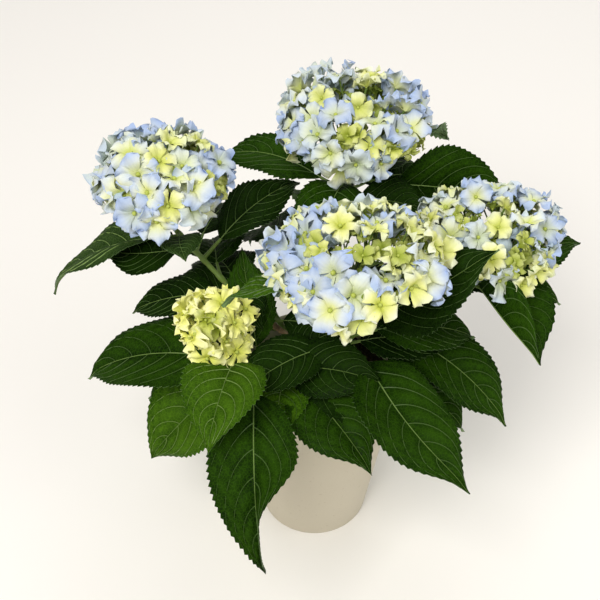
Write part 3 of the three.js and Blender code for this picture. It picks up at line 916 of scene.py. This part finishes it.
def add_veins(skin, blade):
    """The midrib, and on each side the veins that arch from it to the margin."""
    size = 0.36 + blade.length / 300
    t = np.linspace(0.0, 0.985, MIDRIB_STEPS)
    add_rib(skin, blade, t, np.zeros(MIDRIB_STEPS), size * (0.5 * (1 - t) ** 0.8 + 0.08), VEIN)
    finish = SIDE_VEIN if blade.tone in ("dark", "mid") or blade.length < SHORT_LEAF else VEIN
    share = np.linspace(0, 1, SIDE_VEIN_STEPS)
    for side in (-1, 1):
        for pair in range(VEIN_PAIRS + 1):
            start = VEIN_FIRST + VEIN_STEP * pair + (VEIN_STAGGER if side > 0 else 0)
            reach = share * (0.93 if pair < VEIN_PAIRS else 0.8)
            t = start + vein_sweep(reach)
            keep = t < VEIN_END
            widths = size * (0.36 * (1 - 0.5 * start) * (1 - share) ** 0.7 + 0.14)
            if keep.sum() > 3:
                add_rib(skin, blade, t[keep], side * reach[keep], widths[keep], finish)


def leaf_finish(name, deep, paler):
    """The quilted upper face: painted shade in the hollows along its veins and a painted highlight on its
    bulges, with a fine net.
    """
    finish = Finish("leaf_" + name)
    clouds = finish.grain(45, 3)
    net = finish.between(finish.net(520), 0.02, 0.16)
    # The bulge lifts the colour towards the paler one as a painted highlight, and the hollows by the veins
    # keep the near-black deep colour as painted shade; the clouds are the leaf's own uneven tone.
    colour = finish.mix(finish.attribute("bulge") * 0.45 + clouds * 0.95 - 0.25, deep, paler)
    net_colour = tuple(1.5 * channel for channel in paler[:3]) + (1,)
    return finish.surface({
        "Base Color": finish.mix(0.3 - net * 0.3, colour, net_colour),
        "Roughness": clouds * 0.16 + 0.38,
        "Normal": finish.bump(net * 0.5 + finish.grain(900, 2) * 0.2 + clouds, 0.7, 0.0006),
        "Specular IOR Level": 0.03,
    })


def cloudy_finish(name, scale, deep, paler):
    """A plain finish whose colour wanders between two in small clouds."""
    finish = Finish(name)
    clouds = finish.grain(scale, 2)
    return finish.surface({"Base Color": finish.mix(clouds, deep, paler), "Roughness": clouds * 0.1 + 0.5})


under = Finish("leaf_underside")
under_clouds = under.grain(60, 3)
under.surface({
    "Base Color": under.mix(under_clouds, paint(84, 116, 66), paint(116, 146, 88)),
    "Roughness": under_clouds * 0.1 + 0.62,
    "Normal": under.bump(under.between(under.net(520), 0.02, 0.16), 0.5, 0.0006),
})
# For the four leaf tones the clouds wander between the two colours as the leaf's own tone; the first, near
# black, is also painted shade in the hollows and the second painted highlight on the bulges.
leaf_finishes = [
    leaf_finish("dark", paint(3, 17, 0), paint(32, 57, 8)),
    leaf_finish("mid", paint(6, 25, 0), paint(46, 78, 10)),
    leaf_finish("grey", paint(24, 44, 13), paint(64, 88, 40)),
    leaf_finish("light", paint(28, 56, 3), paint(74, 110, 20)),
    under.material,
    cloudy_finish("leaf_vein", 300, paint(92, 122, 52), paint(134, 160, 84)),
    cloudy_finish("leaf_side_vein", 300, paint(54, 82, 30), paint(84, 112, 50)),
]

green_skin = Skin()
luck = np.random.default_rng(LEAF_SEED)
limbs = {name: line for name, (line, _) in canes.items()} | shoots
ring_shares = np.linspace(0, 1, PETIOLE_RINGS)
for name, limb in limbs.items():
    leaf_skin = Skin()
    for k, row in enumerate(leaf_rows[name] + inner_leaves.get(name, [])):
        blade = Blade(limb, row, luck, leaf_habits.get((name, k), {}))
        add_blade(leaf_skin, blade)
        add_veins(leaf_skin, blade)
        stalk = blade.joint + blade.stalk * (PETIOLE_LAP * ring_shares)[:, None]
        radii = min(1.0, 0.45 + blade.length / 120) * np.interp(ring_shares, *PETIOLE_RADII)
        green_skin.add(*tube(stalk, radii[:, None] * PETIOLE_GROOVE, len(PETIOLE_GROOVE)))
    mesh = leaf_skin.mesh(f"leaves_{name}", leaf_finishes, 60)
    stand(f"leaves_{name}", mesh, [f"foliage_{name}"])

# Flower heads: domes of broad four-sepalled florets on thin green stalks. The open ones are sky blue,
# the younger ones cream to lime, and each has a small yellow-green bead. Geometry Nodes set the florets
# out on the stalks' ends. An inner layer of lime and pale ones fills the dome behind the open ones; these
# florets, set deep in the dome, are darkened towards their deep colour as painted shade.
FILL_SHARE, YOUNG_FILL, FILL_TURN, FILL_DEPTH, FILL_DROP, FILL_SIZE = 1.15, 1.6, 1.3, (5, 12), 1.2, 0.85
LIME_TURNS, LIME_ASIDE, LIME_SIZE = np.array([0, 2.2]), 0.3, 0.85
LAYERS, LAYER_STEP, LAYER_SWAY, TUCK, RIM_GROWTH = 7, 0.8, 4.5, 2.6, 0.15
LAST_POLAR, GOLDEN_TURN = math.radians(108), math.pi * (3 - math.sqrt(5))
SEPAL_COLUMNS, SEPAL_BEND_STEPS, SEPAL_THICK, SEPAL_STEP = 9, 41, 0.014, 0.025
SEPAL_STATIONS = (0.0, 0.16, 0.34, 0.52, 0.7, 0.85, 0.95, 1.0)
SEPAL_OUTLINE = (0.16, 0.34, 0.68, 0.95, 1.05, 0.92, 0.66, 0.38)
BEAD_SIDES, BEAD_RINGS = 6, ((0.03, 0.03), (0.055, 0.065), (0.05, 0.105), (0.02, 0.13))
RAY_COUNT, RAY_SPREAD, RAY_REACH, RAY_SIDES, RAY_ENDS = 6, math.radians(52), 0.42, 7, (-0.08, 1.02)
RAY_RADII = 0.95 * np.array([1.1, 1, 0.9, 0.85, 0.95, 1.0])
STALK_RADII, STALK_SIDES, STALK_SAG, FLORET_SINK = (0.6, 0.5, 0.48, 0.6), 5, 0.05, 0.14
VIEW_RIGHT, VIEW_UP, VIEW_OUT = np.array([[1, 0, 0], [0, 0.676, 0.737], [0, -0.737, 0.676]])
KINDS = ("blue", "pale", "cream", "lime", "young")
KIND_SIZES, BUD_SIZE = {"blue": 1.12, "pale": 1.12, "cream": 0.94, "lime": 0.66}, 0.45
SHAPE_SEED = 5

# Each head: centre, radius, rise, open florets, floret size, how many in each hundred are blue
# and pale, and the spots of one kind on the side that shows: right, up and radius as shares of the
# head, and the kind. A bare spot has no florets.
heads = {
    "left": ([-93, 46, 239], 39, 33, 46, 25, (50, 42), [
        (0.3, 0.4, 0.36, "lime"), (0.5, 0.66, 0.36, "cream"), (-0.73, -0.08, 0.15, "lime"),
        (0.1, -0.46, 0.14, "cream"), (0.89, 0.03, 0.16, "lime"), (-0.04, 0.5, 0.22, "cream"),
        (-0.17, 0.0, 0.15, "blue"), (0.49, -0.23, 0.2, "blue"), (-0.54, -0.7, 0.3, "blue"),
        (0.35, -1.0, 0.26, "bare"),
    ]),
    "back": ([23, 88, 255], 46, 29, 50, 23, (36, 56), [
        (0.56, 0.36, 0.42, "blue"), (0.09, 0.12, 0.2, "cream"), (0.0, -0.23, 0.2, "lime"),
        (0.2, -0.54, 0.2, "cream"), (0.58, -0.6, 0.26, "lime"), (0.84, -0.4, 0.2, "lime"),
        (0.1, 0.6, 0.18, "cream"), (-0.35, 0.4, 0.14, "cream"), (-0.45, -0.65, 0.25, "pale"),
    ]),
    "front": ([21, -30, 241], 49, 24, 52, 25, (36, 34), [
        (-0.77, 0.5, 0.3, "blue"), (-0.28, 0.58, 0.2, "cream"), (0.07, 0.47, 0.2, "cream"),
        (0.36, 0.76, 0.32, "blue"), (-0.54, 0.34, 0.14, "lime"), (-0.11, 0.26, 0.16, "lime"),
        (0.05, -0.07, 0.2, "lime"), (0.54, 0.01, 0.28, "cream"), (0.21, -0.45, 0.22, "lime"),
        (0.4, 0.31, 0.16, "lime"), (0.58, 0.69, 0.15, "cream"), (0.74, 0.26, 0.2, "cream"),
        (0.87, -0.18, 0.14, "blue"), (-0.56, -0.16, 0.32, "blue"), (-0.34, -0.55, 0.26, "blue"),
        (0.03, -0.69, 0.18, "cream"), (0.7, -0.82, 0.42, "bare"),
    ]),
    "right": ([104, 29, 213], 45, 26, 46, 23, (5, 56), [
        (-0.79, 0.33, 0.25, "cream"), (-0.4, 0.26, 0.24, "lime"), (-0.07, 0.15, 0.28, "cream"),
        (0.38, -0.02, 0.22, "lime"), (0.18, -0.4, 0.22, "lime"), (0.43, -0.57, 0.2, "cream"),
        (0.74, -0.7, 0.25, "cream"), (-0.4, 0.84, 0.26, "pale"), (0.0, 0.78, 0.28, "blue"),
        (0.49, 0.64, 0.25, "blue"), (0.8, 0.0, 0.3, "blue"),
    ]),
    "small": ([-61, -20, 182], 24, 25, 19, 24, (0, 0), [(0.1, 0.35, 0.2, "lime"), (0.0, -0.9, 0.2, "bare")]),
}


def sepal(skin, turn, lift, width, tilt, bend, wave, luck):
    """One sepal of a floret one unit across: it rises as a funnel, bends over outwards and is ruffled."""
    s, c = np.meshgrid(SEPAL_STATIONS, np.linspace(-1, 1, SEPAL_COLUMNS), indexing="ij")
    fine = np.linspace(0, 1, SEPAL_BEND_STEPS)
    slope = tilt * (1 - fine**1.5) - bend * fine**2
    run = np.concatenate([[0], np.cumsum(np.cos(slope[1:]))])
    climb = np.concatenate([[0], np.cumsum(np.sin(slope[1:]))]) * 0.5 / run[-1]
    run *= 0.5 / run[-1]
    phase, pleats, twist = luck.uniform(0, 6), luck.uniform(2.2, 4.2), luck.uniform(-0.4, 0.4)
    end = s * (1 - 0.13 * c**2 * s**2 + 0.05 * s**2 * np.sin(1.3 * pleats * c - phase))
    half = width * np.interp(s, SEPAL_STATIONS, SEPAL_OUTLINE)
    side = c * half * (1 + 0.1 * np.sin(8 * s + phase + 2 * np.sign(c)))
    reach = np.interp(end, fine, run)
    height = lift + np.interp(end, fine, climb) + (0.45 - 0.6 * s) * np.abs(side) + twist * side * s
    height = height + 1.25 * wave * s * np.abs(c) ** 1.5 * np.sin(11 * s + 2 * phase + 1.7 * np.sign(c))
    height = height + 0.9 * wave * s**2 * np.sin(1.3 * pleats * c + phase)
    x = reach * math.cos(turn) - side * math.sin(turn)
    y = reach * math.sin(turn) + side * math.cos(turn)
    points = np.stack([np.stack([x, y, height], axis=-1), np.stack([x, y, height - SEPAL_THICK], axis=-1)])
    upper, lower, rim = grid_faces(*s.shape)
    skin.add(points / MM, upper + lower + rim, reach=np.tile(s.ravel(), 2), side=np.tile(c.ravel(), 2),
             bead=np.zeros(2 * s.size))


def floret(luck, width, tilt, bend, wave, count):
    """A floret one unit across: its sepals, every second one a little higher, and the bead."""
    skin = Skin()
    for k in range(count):
        turn = math.tau * k / count + luck.uniform(-0.16, 0.16)
        wide, steep = width * luck.uniform(0.88, 1.12), tilt * luck.uniform(0.75, 1.2)
        over, ruffle = bend * luck.uniform(0.5, 1.4), wave * luck.uniform(0.7, 1.3)
        sepal(skin, turn, SEPAL_STEP * (k % 2), wide, steep, over, ruffle, luck)
    angles = math.tau * np.arange(BEAD_SIDES) / BEAD_SIDES
    points = np.array([(r * math.cos(a), r * math.sin(a), z) for r, z in BEAD_RINGS for a in angles])
    none = np.zeros(len(points))
    skin.add(points / MM, ring_faces(len(BEAD_RINGS), BEAD_SIDES), reach=none, side=none, bead=none + 1)
    return skin.mesh("floret", [], 80)


def sepal_finish(name, centre, middle, rim, deep):
    """A sepal: its base colour fades to its rim, with faint long veins and a little cloudiness, and goes
    towards its deep colour by each floret's own tone and by painted shade where the floret sits deep in the
    dome.
    """
    finish = Finish("sepal_" + name)
    reach = finish.attribute("reach") + finish.grain(220, 2) * 0.3 - 0.15
    stops = [(0.2, paint(*centre)), (0.55, paint(*middle)), (0.92, paint(*rim))]
    colour = finish.node("ShaderNodeValToRGB", {"stops": stops}, {"Fac": reach})
    lines = finish.node("ShaderNodeMath", {"operation": "SINE"}, {0: finish.attribute("side") * 19})
    clouds = finish.grain(90, 3)
    tint = finish.attribute("tint") * 0.55 + lines * 0.03 + clouds * 0.14 - 0.09
    return finish.surface({
        "Base Color": finish.mix(tint, colour, paint(*deep)),
        "Roughness": clouds * 0.14 + 0.55,
        "Normal": finish.bump(lines * 0.3 + clouds * 0.6, 0.3, 0.0004),
        "Specular IOR Level": 0.3,
    })


sepal_finishes = [
    sepal_finish("blue", (220, 224, 150), (212, 219, 216), (178, 196, 228), (152, 174, 216)),
    sepal_finish("pale", (212, 219, 122), (228, 231, 196), (210, 220, 230), (178, 196, 212)),
    sepal_finish("cream", (196, 203, 84), (233, 234, 158), (234, 238, 216), (206, 213, 128)),
    sepal_finish("lime", (168, 180, 56), (206, 212, 108), (221, 224, 148), (126, 146, 50)),
    sepal_finish("young", (222, 227, 96), (247, 247, 146), (254, 253, 192), (238, 239, 124)),
]
bead_finish = cloudy_finish("floret_bead", 800, paint(158, 174, 62), paint(198, 206, 100))

# The shapes of each form of floret: sepal width, funnel's rise, bend outwards, ruffle and sepals.
floret_forms = {
    "open": [(0.24, 0.6, 0.8, 0.09, 4), (0.25, 0.8, 1.0, 0.1, 4), (0.23, 0.45, 0.7, 0.1, 4),
             (0.24, 0.8, 0.3, 0.09, 4), (0.2, 0.7, 1.1, 0.09, 5)],
    "young": [(0.21, 0.9, 0.8, 0.06, 4), (0.2, 1.0, 0.6, 0.06, 4), (0.22, 0.8, 1.0, 0.07, 4)],
    "star": [(0.18, 0.35, 0.9, 0.1, 4), (0.19, 0.5, 1.1, 0.11, 4), (0.16, 0.4, 0.8, 0.08, 5)],
    "bud": [(0.2, 1.1, 0.5, 0.03, 4)],
}
shape_luck = np.random.default_rng(SHAPE_SEED)
form_numbers = {}
floret_meshes = []
for form, shapes in floret_forms.items():
    form_numbers[form] = list(range(len(floret_meshes), len(floret_meshes) + len(shapes)))
    floret_meshes += [floret(shape_luck, *shape) for shape in shapes]
floret_shapes = shapes_for("floret_shape", floret_meshes)
cluster = Growth("floret_cluster", {"Floret shapes": "Collection", "Floret scale": "Float"})
domes = cluster.set_out(
    cluster.given["Geometry"], cluster.given["Floret shapes"], cluster.attribute("turn", "FLOAT_VECTOR"),
    cluster.attribute("span", "FLOAT") * cluster.given["Floret scale"],
    **{"Instance Index": cluster.attribute("shape", "INT")},
)
for kind, finish in enumerate(sepal_finishes):
    chosen = cluster.node("FunctionNodeCompare", {"data_type": "FLOAT", "operation": "EQUAL"}, {
        0: cluster.attribute("kind", "FLOAT"), 1: float(kind), "Epsilon": 0.4,
    })
    domes = cluster.coat(domes, finish, Selection=chosen)
chosen = cluster.node("FunctionNodeCompare", {"data_type": "FLOAT", "operation": "GREATER_THAN"}, {
    0: cluster.attribute("bead", "FLOAT"), 1: 0.5,
})
cluster.put(cluster.made, cluster.coat(domes, bead_finish, Selection=chosen))


def facing(normal, spin):
    """The turn that lays a floret's face along a normal, as Euler angles."""
    return (Vector(normal).to_track_quat("Z", "Y").to_matrix() @ Matrix.Rotation(spin, 3, "Z")).to_euler()


for name, (centre, radius, rise, count, size, hundred, spots) in heads.items():
    young_head = name == "small"
    centre = np.array(centre, dtype=float)
    hub_foot = canes[name][0].at(1)[0]

    def surface(polar, azimuth):
        level = radius * math.sin(polar)
        return np.array([level * math.cos(azimuth), level * math.sin(azimuth), rise * math.cos(polar)])

    hubs = []
    for k in range(RAY_COUNT + 1):
        target = centre + surface(RAY_SPREAD if k else 0, math.tau * k / RAY_COUNT)
        hubs.append(hub_foot + (target - hub_foot) * RAY_REACH)
        ray = hub_foot + (hubs[-1] - hub_foot) * np.linspace(*RAY_ENDS, len(RAY_RADII))[:, None]
        green_skin.add(*tube(ray, RAY_RADII, RAY_SIDES))
    half_up = math.hypot(radius * VIEW_UP[1], rise * VIEW_UP[2])
    places, turns, spans, kinds, shapes, tones_and_depth_shades = [], [], [], [], [], []

    def set_floret(polar, azimuth, span, sunk, spread, kind=None, bud=False):
        """Sets one floret on its stalk, sunk so far into the dome, and tells its kind."""
        offset = surface(polar, azimuth)
        normal = offset / np.array([radius**2, radius**2, rise**2])
        normal /= np.linalg.norm(normal)
        lean = normal + luck.normal(0, spread, 3)
        lean /= np.linalg.norm(lean)
        across, up = offset @ VIEW_RIGHT / radius, offset @ VIEW_UP / half_up
        if kind is None:
            drawn = 100 * luck.random()
            kind = "blue" if drawn < hundred[0] else "pale" if drawn < sum(hundred) else "cream"
            kind = "young" if young_head else kind
        for x, y, reach, spot in spots:
            near = math.hypot(across - x, up - y) < reach * luck.uniform(0.8, 1.2)
            if near and offset @ VIEW_OUT > -0.2 * radius and (spot == "bare" or sunk < 3):
                kind = spot
        if kind == "bare":
            return kind
        span *= BUD_SIZE if bud else 1.0 if young_head else KIND_SIZES[kind]
        form = "bud" if bud else "star" if young_head else "young" if kind == "lime" else "open"
        place = centre + offset - normal * (TUCK + sunk + FLORET_SINK * span)
        places.append(place * MM)
        turns.append(tuple(facing(lean, luck.uniform(0, math.tau))))
        spans.append(span)
        kinds.append(float(KINDS.index(kind)))
        shapes.append(int(luck.choice(form_numbers[form])))
        # Each floret's own random tone, plus painted shade for the florets sunk deep in the dome.
        tones_and_depth_shades.append(luck.random() * (0.5 if kind == "young" else 1) + 0.9 * (sunk > 5 and not young_head))
        hub = min(hubs, key=lambda knot: np.linalg.norm(knot - place))
        share = np.linspace(0, 1, len(STALK_RADII))[:, None]
        sag = STALK_SAG * np.linalg.norm(place - hub) * (abs(share - 0.5) < 0.4)
        green_skin.add(*tube(hub + (place - hub) * share - UP * sag, STALK_RADII, STALK_SIDES))
        return kind

    for k in range(count):
        polar = math.acos(1 - (1 - math.cos(LAST_POLAR)) * (k + 0.5) / count)
        azimuth = GOLDEN_TURN * k
        span = size * (1 - RIM_GROWTH * (1 - polar / LAST_POLAR)) * luck.uniform(0.86, 1.14)
        kind = set_floret(polar, azimuth, span, LAYER_STEP * (k % LAYERS) - luck.uniform(0, LAYER_SWAY), 0.4)
        if kind == "lime":
            aside = LIME_ASIDE * size / radius
            for turn in luck.uniform(0, math.tau) + LIME_TURNS:
                lower = polar + aside * math.cos(turn)
                beside = azimuth + aside * math.sin(turn) / max(math.sin(polar), 0.3)
                set_floret(lower, beside, LIME_SIZE * span, luck.uniform(0, 4), 0.5, "lime")
    fill = round((YOUNG_FILL if young_head else FILL_SHARE) * count)
    for k in range(fill):
        polar = math.acos(1 - FILL_DROP * (k + 0.5) / fill)
        kind = "lime" if luck.random() < 0.8 else "pale"
        kind = "young" if young_head else kind
        azimuth = GOLDEN_TURN * k + FILL_TURN
        set_floret(polar, azimuth, FILL_SIZE * size, luck.uniform(*FILL_DEPTH), 0.45, kind, young_head)
    spot_mesh = bpy.data.meshes.new(f"floret_places_{name}")
    spot_mesh.from_pydata([tuple(place) for place in places], [], [])
    for label, sort, values in (
        ("span", "FLOAT", spans), ("kind", "FLOAT", kinds), ("tint", "FLOAT", tones_and_depth_shades),
        ("shape", "INT", shapes), ("turn", "FLOAT_VECTOR", np.ravel(turns)),
    ):
        store = "vector" if label == "turn" else "value"
        spot_mesh.attributes.new(label, sort, "POINT").data.foreach_set(store, values)
    mesh = cluster.grow(spot_mesh, {"Floret shapes": floret_shapes, "Floret scale": MM})
    for label in ("span", "shape", "turn", "kind", "bead"):
        if label in mesh.attributes:
            mesh.attributes.remove(mesh.attributes[label])
    mesh.name = f"florets_{name}"
    stand(f"florets_{name}", mesh, [f"bloom_{name}"])
clear_shapes(floret_shapes)

# Green stems: the young leafy ends of the canes, the low shoots, and the stalks under the flower heads,
# smooth and juicy, with small corky specks. The leaf stalks and floret stalks above are part of them.
STEM_STEP, STEM_SIDES, STEM_LAP, SHOOT_ROOTED, NODE_RADIUS = 1.6, 14, 0.01, 2.5, 1.8
for name, limb in limbs.items():
    if name in canes:
        start, end = canes[name][1] - STEM_LAP, 1.0
        shares = np.linspace(start, end, round((end - start) * limb.length / STEM_STEP))
        radii = CANE_FOOT + (CANE_TIP - CANE_FOOT) * shares
    else:
        shares = np.linspace(-SHOOT_ROOTED / limb.length, 1.0, round(limb.length / STEM_STEP))
        radii = SHOOT_FOOT + (SHOOT_TIP - SHOOT_FOOT) * shares
    nodes = sorted({row[0] for row in leaf_rows[name]})
    radii = radii * swelling(shares, nodes, limb.length, NODE_RADIUS)
    green_skin.add(*tube(limb.at(shares), radii, STEM_SIDES))

green = Finish("green_stem")
green_clouds = green.grain(70, 3)
green_specks = green.between(green.grain(600, 2), 0.64, 0.7)
green_colour = green.mix(green_clouds, paint(74, 102, 34), paint(120, 146, 60))
green.surface({
    "Base Color": green.mix(green_specks * 0.7, green_colour, paint(110, 84, 52)),
    "Roughness": green_clouds * 0.12 + 0.45,
    "Normal": green.bump(green.grain(500, 3), 0.3, 0.0005),
})
stand("green_stems", green_skin.mesh("green_stems", [green.material], 70),
      [f"foliage_{name}" for name in limbs] + [f"bloom_{name}" for name in canes])
